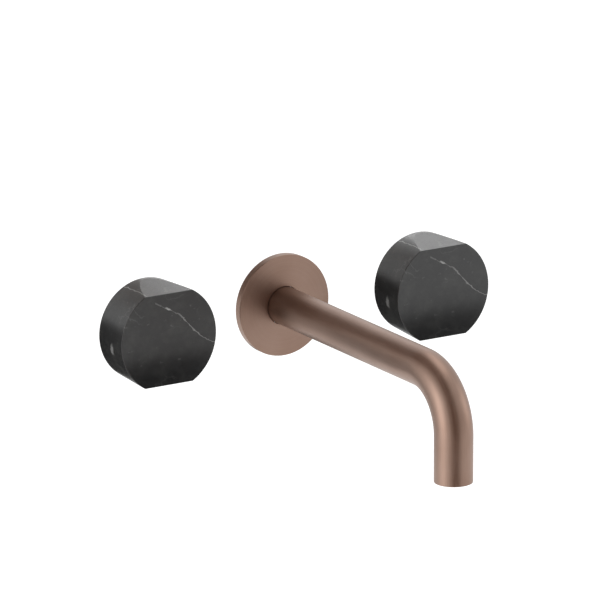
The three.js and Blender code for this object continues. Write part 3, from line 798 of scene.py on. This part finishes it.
screw_half = screw_radius + 0.2
screw_groove = (nipple_radius - SCREW_GROOVE, SCREW_PLACE - screw_half, SCREW_PLACE + screw_half)
shaft = grooved(
    nipple_radius, nipple_front, ring_groove("nipple_o_ring_front"), ring_groove("nipple_o_ring_rear"),
    screw_groove,
)
blank = [(0, nipple_front), *shaft, (nipple_radius, THREAD_PLACE + 0.5), (THREAD_ROOT, THREAD_PLACE + 0.5)]
blank += [(THREAD_ROOT, nipple_rear - 1), (0, nipple_rear - 1)]
nipple = turned("inlet_nipple", blank, ease=0.25)
thread = threaded_bar("pipe_thread", thread_radius, PIPE_PITCH, THREAD_PLACE, nipple_rear)
carve(nipple, thread, "UNION")
throat = [(0, nipple_front - 1), (waterway + 1.8, nipple_front - 1), (waterway, nipple_front + 0.8)]
throat += [(waterway, nipple_rear - 0.8), (waterway + 1.8, nipple_rear + 1), (0, nipple_rear + 1)]
spout_piece(carve(nipple, turned("throat", throat)), "inlet_nipple")

# %% [markdown]
# ## Grub screws
# Both grub screws are fine threaded bars with a hexagon socket and a cup point. They stand along Z:
# the one of the spout under the tube, the one of each knob deep in the hole of its lower flat.

# %% Grub screws
def grub_screw(node, pitch):
    low, high = (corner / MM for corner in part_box(node))
    radius, length = (high.y - low.y) / 2, high.z - low.z
    screw = threaded_bar(node, radius, pitch, -length, 0, steps=40)
    carve(screw, turned("socket", rod(0.5 * radius, -length - 1, 0.75 * radius - length), steps=6))
    cup = [(0, -0.5), (0.5 * radius, 0.01), (0.5 * radius, 1), (0, 1)]
    carve(screw, turned("cup", cup, steps=40))
    return moved(screw, (0, (low.y + high.y) / 2, high.z), (90, 0, 0))


spout_piece(grub_screw("spout_grub_screw", 0.8), "spout_grub_screw")
valve_pieces(grub_screw("hot_knob_grub_screw", 0.7), "knob_grub_screw")

# %% [markdown]
# ## The aerator
# The outlet holds a cartridge: a nylon housing with an inner lip, a straightener full of small
# channels that make the stream clear, a steel screen above it, and a rubber seal on top. They are
# made about Y, with +Y for up, and then turned upright onto the outlet's axis.

# %% The aerator
def upright(piece):
    return moved(piece, (0, -reach, 0), (90, 0, 0))


def heights(node):
    low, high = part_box(node)
    return low.z / MM, high.z / MM, (high.x - low.x) / 2 / MM


LIP_WIDTH, LIP_HEIGHT, HOUSING_WALL = 1.0, 1.6, 1.8
bottom, top, radius = heights("aerator_housing")
inside = radius - HOUSING_WALL
lip = inside - LIP_WIDTH
housing = turned("aerator_housing", [
    (lip, bottom), (radius, bottom), (radius, top), (inside, top),
    (inside, bottom + LIP_HEIGHT), (lip, bottom + LIP_HEIGHT),
], ease=0.3)
KEY_SLOTS = 8
for i in range(KEY_SLOTS):
    angle = 360 * i / KEY_SLOTS
    slot_cutter = box_between("key_slot", (-0.7, bottom - 1, lip - 1), (0.7, bottom + 0.8, inside + 0.5))
    carve(housing, moved(slot_cutter, turn=(0, angle, 0)))
spout_piece(upright(housing), "aerator_housing")
bottom, top, radius = heights("aerator_seal")
seal_inner = heights("aerator_housing")[2] - HOUSING_WALL - LIP_WIDTH
spout_piece(upright(turned("aerator_seal", ring(seal_inner, radius, bottom, top), ease=0.4)), "aerator_seal")

# %% [markdown]
# The channels of the straightener and the meshes of the screen lie in a close hexagon pattern. One
# cutter holds all of them: the first is made, and copies of it are joined into one piece, so that
# only one Boolean is needed for each disc.

# %% The perforated discs
def hole_pattern(radius, pitch, margin, make_hole):
    holes = []
    rows = math.ceil(radius / pitch)
    for row in range(-rows, rows + 1):
        for column in range(-rows, rows + 1):
            x, z = (column + 0.5 * (row % 2)) * pitch, row * pitch * math.sin(math.pi / 3)
            if math.hypot(x, z) < radius - margin:
                holes.append(moved(make_hole(), (x, 0, z)))
    deselect()
    for hole in holes:
        hole.select_set(True)
    bpy.context.view_layer.objects.active = holes[0]
    bpy.ops.object.join()
    return bpy.context.object


bottom, top, radius = heights("flow_straightener")
straightener = turned("flow_straightener", rod(radius, bottom, top), ease=0.2)
channel = rod(0.95, bottom - 1, top + 1)
channels = hole_pattern(radius, 2.35, 1.5, lambda: turned("channel", channel, steps=12))
spout_piece(upright(carve(straightener, channels)), "flow_straightener")
bottom, top, radius = heights("aerator_screen")
screen = turned("aerator_screen", rod(radius, bottom, top), ease=0.1)
mesh_holes = hole_pattern(
    radius, 1.5, 1.3, lambda: box_between("mesh", (-0.5, bottom - 1, -0.5), (0.5, top + 1, 0.5))
)
spout_piece(upright(carve(screen, mesh_holes)), "aerator_screen", FINISH["steel_spout"])

# %% [markdown]
# ## The marble knob
# The knob is a thick stone disc, a little narrower behind, with a flat ground on top and one below.
# The flats lean out towards the back, so each of them runs out in a curve before it gets there.
# A cylinder is scaled at its back, cut flat twice with Bisect, and its edges get a very small bevel.
# Behind, it is drilled for the brass insert, and through the lower flat for the grub screw.

# %% The marble knob
KNOB_SIDES = 256
KNOB_BACK_SHARE = 0.955
KNOB_FLAT_RISE = 0.12  # lean of the flats, as height over depth
KNOB_EDGE = 0.35
SCREW_HOLE_RADIUS = 2.6
RECESS_RADIUS, RECESS_DEPTH = 13.2, 8.3

knob_front, knob_back, knob_radius = span("hot_marble_knob")
knob_points = [v.co / MM for v in frame["nodes"]["hot_marble_knob"].data.vertices]
knob_flat = max(p.z for p in knob_points if p.y < knob_front + 0.1)
insert_front, insert_back, insert_flange = span("hot_knob_insert")
insert_radius = bore("hot_marble_knob", knob_front + 0.1, knob_back - RECESS_DEPTH - 1)
bpy.ops.mesh.primitive_cylinder_add(
    vertices=KNOB_SIDES, radius=knob_radius * MM, depth=(knob_back - knob_front) * MM,
    location=(0, (knob_front + knob_back) / 2 * MM, 0), rotation=(math.pi / 2, 0, 0),
)
knob = bpy.context.object
settle()
for vertex in knob.data.vertices:
    vertex.select = vertex.co.y > (knob_front + knob_back) / 2 * MM
for edge in knob.data.edges:
    edge.select = all(knob.data.vertices[v].select for v in edge.vertices)
for face in knob.data.polygons:
    face.select = all(knob.data.vertices[v].select for v in face.vertices)
bpy.ops.object.mode_set(mode="EDIT")
bpy.ops.transform.resize(value=(KNOB_BACK_SHARE, 1, KNOB_BACK_SHARE))
for side in (1, -1):
    bpy.ops.mesh.select_all(action="SELECT")
    bpy.ops.mesh.bisect(
        plane_co=(0, knob_front * MM, side * knob_flat * MM), plane_no=(0, -KNOB_FLAT_RISE, side),
        use_fill=True, clear_outer=True,
    )
tidy_shell()
bevelled(knob, KNOB_EDGE, segments=3, angle=math.radians(8))
carve(knob, turned("recess", rod(RECESS_RADIUS, knob_back - RECESS_DEPTH, knob_back + 1)))
carve(knob, turned("socket", rod(insert_radius, insert_front - 0.3, knob_back - RECESS_DEPTH + 1)))
knob_screw_y = (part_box("hot_knob_grub_screw")[0].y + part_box("hot_knob_grub_screw")[1].y) / 2 / MM
carve(knob, pin_hole(SCREW_HOLE_RADIUS, knob_screw_y, -knob_radius - 1, 1 - insert_radius))
print("height of the knob's front", round(2 * knob_flat, 1), "mm")
valve_pieces(knob, "marble_knob")

# %% [markdown]
# ## Insert and spindle
# The brass insert is bonded into the knob and slides over the spindle's twelve splines. A splined
# bar is a circle whose every second pair of points is pulled in, extruded along the axis. It joins
# the spindle, and a slightly wider one cuts the insert's hole.

# %% Insert and spindle
SPLINE_TEETH = 12
SPLINE_TOOTH = 0.45
COUNTERBORE = 6.6
SLIP = 0.2

clip_front, clip_back, clip_radius = span("hot_spindle_circlip")
spindle_front, _, drive_radius = span("hot_spindle")
spline_radius = 4.0
spindle_radius = 5.0


def splined_bar(radius, y0, y1):
    bpy.ops.mesh.primitive_circle_add(
        vertices=4 * SPLINE_TEETH, radius=radius * MM, fill_type="NGON",
        location=(0, y0 * MM, 0), rotation=(math.pi / 2, 0, 0),
    )
    piece = bpy.context.object
    settle()
    for vertex in piece.data.vertices:
        if vertex.index % 4 > 1:
            vertex.co.x *= 1 - SPLINE_TOOTH / radius
            vertex.co.z *= 1 - SPLINE_TOOTH / radius
    bpy.ops.object.mode_set(mode="EDIT")
    bpy.ops.mesh.select_all(action="SELECT")
    push(y=y1 - y0)
    tidy_shell()
    return piece


insert_floor = insert_back - 2.0
insert = turned("knob_insert", [
    (0, insert_front), (insert_radius - 0.3, insert_front), (insert_radius - 0.3, insert_floor),
    (insert_flange, insert_floor), (insert_flange, insert_back), (0, insert_back),
], ease=0.3)
carve(insert, splined_bar(spline_radius + SLIP, spindle_front - 0.3, insert_back + 1))
carve(insert, turned("counterbore", rod(COUNTERBORE, clip_front - 0.8, insert_back + 1)))
knob_screw_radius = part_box("hot_knob_grub_screw")[1].y / MM - knob_screw_y
carve(insert, pin_hole(knob_screw_radius + SLIP, knob_screw_y, -insert_radius - 1, -spline_radius))
valve_pieces(insert, "knob_insert")

glide_front, glide_rear, glide_radius = span("hot_glide_washer")
disc_front, _, disc_radius = span("hot_moving_disc")
drive_front, drive_back = glide_rear + 0.3, glide_rear + 1.7
tang_depth, tang_length, tang_thickness = 1.6, 8.0, 2.4
shaft = grooved(
    spindle_radius, clip_front - 0.5, (spindle_radius - 0.9, clip_front - 0.1, clip_back + 0.1),
    ring_groove("hot_spindle_o_ring_front"), ring_groove("hot_spindle_o_ring_rear"),
)
spindle = turned("spindle", [
    (0, clip_front - 1.0), (spline_radius - SPLINE_TOOTH, clip_front - 1.0),
    (spline_radius - SPLINE_TOOTH, clip_front - 0.5), *shaft, (spindle_radius, drive_front),
    (drive_radius, drive_front), (drive_radius, drive_back), (0, drive_back),
], ease=0.15)
carve(spindle, bevelled(splined_bar(spline_radius, spindle_front, clip_front - 0.5), 0.2), "UNION")
tang = box_between(
    "tang", (-tang_length / 2, drive_back - 0.5, -tang_thickness / 2),
    (tang_length / 2, disc_front + tang_depth, tang_thickness / 2),
)
carve(spindle, bevelled(tang, 0.25), "UNION")
valve_pieces(spindle, "spindle")

# %% [markdown]
# ## Circlip and washer
# The circlip is a spring steel ring with a mouth, so it is turned through less than a full circle:
# a face is spun instead of a line, which closes both of its ends.

# %% Circlip and washer
def turned_arc(name, outline, start, angle, steps=48):
    """A closed part of a turned ring, from `start` through `angle` degrees about Y."""
    piece = draw_line(name, [(r * MM, y * MM, 0) for r, y in [*outline, outline[0]]])
    bpy.ops.mesh.select_all(action="SELECT")
    bpy.ops.mesh.remove_doubles(threshold=WELD)
    bpy.ops.mesh.edge_face_add()
    bpy.ops.mesh.spin(steps=steps, angle=math.radians(angle), center=(0, 0, 0), axis=(0, 1, 0))
    tidy_shell()
    return moved(piece, turn=(0, start, 0))


CLIP_MOUTH = 80.0  # degrees
clip_inner = bore("hot_spindle_circlip")
clip = turned_arc(
    "circlip", ring(clip_inner, clip_radius, clip_front, clip_back), CLIP_MOUTH / 2 - 90, 360 - CLIP_MOUTH
)
valve_pieces(bevelled(clip, 0.12), "spindle_circlip")
washer_outline = ring(bore("hot_glide_washer"), glide_radius, glide_front, glide_rear)
washer = turned("glide_washer", washer_outline, ease=0.12)
valve_pieces(washer, "glide_washer")

# %% [markdown]
# ## Ceramic discs
# Two flat lapped discs make the tap: the moving one has a slot for the spindle's tang and two
# windows, and the fixed one has the same windows a quarter turn on and two notches that keep it from
# turning. When the windows meet, the water runs.

# %% Ceramic discs
WINDOW_INNER, WINDOW_OUTER = 2.6, 6.4
WINDOW_ANGLE = math.degrees(2 * 0.66)
KEY_WIDTH, KEY_DEPTH = 1.6, 0.8
CHAMBER_PLAY = 0.3


def window_cutter(middle, y0, y1):
    outline = ring(WINDOW_INNER, WINDOW_OUTER, y0 - 1, y1 + 1)
    return turned_arc("window", outline, middle - WINDOW_ANGLE / 2, WINDOW_ANGLE, steps=16)


def ceramic_disc(node, middle):
    front, rear, radius = span(node)
    disc = turned(node, rod(radius, front, rear), ease=0.15)
    for turn in (middle, middle + 180):
        carve(disc, window_cutter(turn, front, rear))
    return disc


moving = ceramic_disc("hot_moving_disc", 90)
slot_size = (tang_length / 2 + SLIP, tang_thickness / 2 + SLIP)
tang_slot = box_between(
    "slot", (-slot_size[0], disc_front - 1, -slot_size[1]),
    (slot_size[0], disc_front + tang_depth + SLIP, slot_size[1]),
)
valve_pieces(carve(moving, tang_slot), "moving_disc")
fixed_front, fixed_rear, _ = span("hot_fixed_disc")
chamber_radius = disc_radius + CHAMBER_PLAY
fixed = ceramic_disc("hot_fixed_disc", 0)
for side in (-1, 1):
    inner, outer = chamber_radius - KEY_DEPTH - CHAMBER_PLAY, chamber_radius + 0.5
    low_z, high_z = sorted((side * inner, side * outer))
    half = KEY_WIDTH / 2 + CHAMBER_PLAY
    carve(fixed, box_between("notch", (-half, fixed_front - 1, low_z), (half, fixed_rear + 1, high_z)))
valve_pieces(fixed, "fixed_disc")
seal_front, seal_rear, seal_radius = span("hot_seat_seal")
seal = turned("seat_seal", ring(bore("hot_seat_seal"), seal_radius, seal_front, seal_rear), ease=0.4)
valve_pieces(seal, "seat_seal")

# %% [markdown]
# ## The headwork body
# The headwork is the brass valve top. A hexagon takes the spanner, the thread holds the collar and
# screws into the wall, and the slim housing behind has four windows that let the water out. The
# hexagon's corners are chamfered the way a nut's are, by intersecting it with a turned blank.

# %% The headwork body
HEX_FLATS = 17.0
HEADWORK_THREAD = 10.4
HOUSING_RADIUS = 9.8
WINDOW_WIDTH, WINDOW_COUNT = 8.0, 4
SHOULDER = glide_front - 0.3

hex_front, housing_end, _ = span("hot_headwork_body")
thread_front = hex_front + 4.4
root = HEADWORK_THREAD - 0.6 * PIPE_PITCH
groove_floor, groove_front, groove_rear = ring_groove("hot_headwork_o_ring")
headwork = turned("headwork_body", [
    (0, thread_front + 0.1), (root, thread_front + 0.1), (root, groove_front - 0.7),
    (HEADWORK_THREAD, groove_front), (groove_floor, groove_front), (groove_floor, groove_rear),
    (HEADWORK_THREAD, groove_rear), (HEADWORK_THREAD, drive_front), (HOUSING_RADIUS, drive_front + 0.6),
    (HOUSING_RADIUS, housing_end), (0, housing_end),
], ease=0.15)
hexagon = turned("hexagon", rod(HEX_FLATS / math.sqrt(3), hex_front, thread_front + 0.5), steps=6)
corner = HEX_FLATS / math.sqrt(3) + 0.1
dome = [(0, hex_front - 0.01), (HEX_FLATS / 2, hex_front - 0.01), (corner, hex_front + 0.9)]
dome += [(corner, thread_front + 1), (0, thread_front + 1)]
carve(headwork, carve(hexagon, turned("dome", dome), "INTERSECT"), "UNION")
collar_thread = threaded_bar("collar_thread", HEADWORK_THREAD, PIPE_PITCH, thread_front, groove_front - 0.3)
carve(headwork, collar_thread, "UNION")
spindle_bore = spindle_radius + SLIP
hollow = [(0, hex_front - 1), (spindle_bore + 1.5, hex_front - 1), (spindle_bore, hex_front + 0.5)]
hollow += [(spindle_bore, SHOULDER), (chamber_radius, SHOULDER), (chamber_radius, housing_end + 1)]
hollow += [(0, housing_end + 1)]
carve(headwork, turned("hollow", hollow))
for i in range(WINDOW_COUNT):
    window = box_between(
        "window", (WINDOW_OUTER, drive_back, -WINDOW_WIDTH / 2),
        (HOUSING_RADIUS + 3, disc_front, WINDOW_WIDTH / 2),
    )
    carve(headwork, moved(window, turn=(0, (i + 0.5) * 360 / WINDOW_COUNT, 0)))
for side in (-1, 1):
    low_z, high_z = sorted((side * (chamber_radius - KEY_DEPTH), side * (chamber_radius + 0.5)))
    key = box_between("key", (-KEY_WIDTH / 2, fixed_front, low_z), (KEY_WIDTH / 2, fixed_rear, high_z))
    carve(headwork, key, "UNION")
valve_pieces(headwork, "headwork_body")

# %% [markdown]
# ## Light and background
# A plain product studio: white all round, a broad soft light above, one on each side and a faint one
# high behind. A stronger one in the same place is linked to the knobs alone, for their top flats, so
# that it leaves the tube's upper side as it is. The floor lies well below. The floor and the world are
# white where the camera or a reflection looks at them, and the floor still takes the shadow.

# %% Light and background
FLOOR_HEIGHT = -0.4
FLOOR_SIZE = 12.0
WORLD_LEVEL = 0.65
HIGH_BEHIND = (0.88, 1.05, 0.74)


def seen_or_mirrored(tree):
    """1 for camera, glossy and transmission rays, else 0."""
    path = tree.nodes.new("ShaderNodeLightPath")
    seen = maths(tree, "MAXIMUM", path.outputs["Is Camera Ray"], path.outputs["Is Glossy Ray"])
    return maths(tree, "MAXIMUM", seen, path.outputs["Is Transmission Ray"])


world = bpy.data.worlds.new("studio")
bpy.context.scene.world = world
world.use_nodes = True
background = world.node_tree.nodes["Background"]
background.inputs["Color"].default_value = (1, 1, 1, 1)
level = ramp(world.node_tree, seen_or_mirrored(world.node_tree), 0.0, 1.0, WORLD_LEVEL, 1.0)
world.node_tree.links.new(level, background.inputs["Strength"])

bpy.ops.mesh.primitive_plane_add(size=FLOOR_SIZE, location=(0, 0, FLOOR_HEIGHT))
floor = bpy.context.object
floor.name = "floor"
floor_material, tree, shader, _ = new_material("pale_floor")
shader.inputs["Base Color"].default_value = (0.8, 0.8, 0.8, 1)
shader.inputs["Roughness"].default_value = 0.9
shader.inputs["Emission Color"].default_value = (1, 1, 1, 1)
tree.links.new(
    maths(tree, "MULTIPLY", seen_or_mirrored(tree), 0.6), shader.inputs["Emission Strength"]
)
floor.data.materials.append(floor_material)


def soft_light(name, place, size, watts):
    bpy.ops.object.light_add(type="AREA", location=place)
    light = bpy.context.object
    light.name = name
    light.data.shape = "RECTANGLE"
    light.data.size, light.data.size_y = size
    light.data.energy = watts
    light.rotation_euler = (aim - Vector(place)).to_track_quat("-Z", "Y").to_euler()
    return light


soft_light("top_light", (0.3, 0.1, 1.0), (0.8, 0.8), 2.4)
soft_light("left_light", (-1.1, -0.1, 0.1), (0.7, 0.9), 4)
soft_light("right_light", (1.25, -0.6, 0.3), (0.8, 0.8), 2.4)
soft_light("back_light", HIGH_BEHIND, (0.6, 0.4), 0.5)
knob_light = soft_light("knob_light", HIGH_BEHIND, (0.85, 0.55), 6.2)
knobs_only = bpy.data.collections.new("knobs_only")
for side in VALVES:
    knobs_only.objects.link(bpy.data.objects[f"{side}_marble_knob_fine"])
knob_light.light_linking.receiver_collection = knobs_only

# %% [markdown]
# White all round makes metal look flat. A studio photographer stands dark cards where the metal
# mirrors them. Here a bent brown strip stands over the spout, with a small bent card close behind the
# wall plane and a flat one farther back: they draw the warm dark line along the tube and round its
# bend. Black cards behind the knobs darken their left sides, and low ones in front of them the lower
# part of their fronts. Only reflections see the cards.

# %% Dark cards
BROWN, BLACK = (0.2, 0.11, 0.065, 1), (0.01, 0.01, 0.01, 1)
STRIP_RADIUS, STRIP_AXIS_Y = 0.6, -0.1
STRIP_SIDES = (-0.5, 0.04)
STRIP_FROM, STRIP_TO = 28.0, 215.0  # degrees above the back horizon


def dark_card(card, name, colour):
    """Gives a card its colour and hides it from all but mirroring rays."""
    card.name = name
    material = bpy.data.materials.new(name)
    material.use_nodes = True
    material.node_tree.nodes["Principled BSDF"].inputs["Base Color"].default_value = colour
    card.data.materials.append(material)
    card.visible_camera = card.visible_diffuse = card.visible_shadow = False
    card.visible_transmission = False


def flat_card(name, low, high, colour=BLACK):
    """A card between two corners in millimetres, flat along the axis in which they agree."""
    upright = low[1] == high[1]
    axis = 2 if upright else 1
    bpy.ops.mesh.primitive_plane_add(
        size=1, location=[(a + b) / 2 * MM for a, b in zip(low, high)],
        rotation=(math.pi / 2 if upright else 0, 0, 0),
    )
    card = bpy.context.object
    card.scale = [(high[0] - low[0]) * MM, (high[axis] - low[axis]) * MM, 1]
    dark_card(card, name, colour)


def bent_card(name, radius, y0, y1, start, stop, colour):
    """A card bent round the spout's axis, between two angles above the left horizon."""
    x, z = -radius * math.cos(math.radians(start)), radius * math.sin(math.radians(start))
    card = draw_line(name, [(x, y0, z), (x, y1, z)])
    bpy.ops.mesh.select_all(action="SELECT")
    bpy.ops.mesh.spin(steps=16, angle=math.radians(start - stop), center=(0, 0, 0), axis=(0, 1, 0))
    tidy_shell()
    dark_card(card, name, colour)


strip_start = math.radians(STRIP_FROM)
strip_y = STRIP_RADIUS * math.cos(strip_start) + STRIP_AXIS_Y
strip_z = STRIP_RADIUS * math.sin(strip_start)
strip = draw_line("strip", [(x, strip_y, strip_z) for x in STRIP_SIDES])
bpy.ops.mesh.select_all(action="SELECT")
bpy.ops.mesh.spin(
    steps=32, angle=-math.radians(STRIP_TO - STRIP_FROM), center=(0, STRIP_AXIS_Y, 0), axis=(1, 0, 0)
)
tidy_shell()
dark_card(strip, "brown_strip", BROWN)
bent_card("brown_bent_card", 0.11, 0.02, 0.17, 12, 75, BROWN)
flat_card("brown_card", (-250, 300, 240), (40, 300, 360), BROWN)
for side, axis_x in VALVES.items():
    flat_card(f"{side}_back_card", (axis_x - 110, 45, -110), (axis_x, 45, 14))
    flat_card(f"{side}_front_card", (axis_x - 20, -60, -60), (axis_x + 53, -60, -21))
bpy.context.scene.view_settings.view_transform = "Standard"
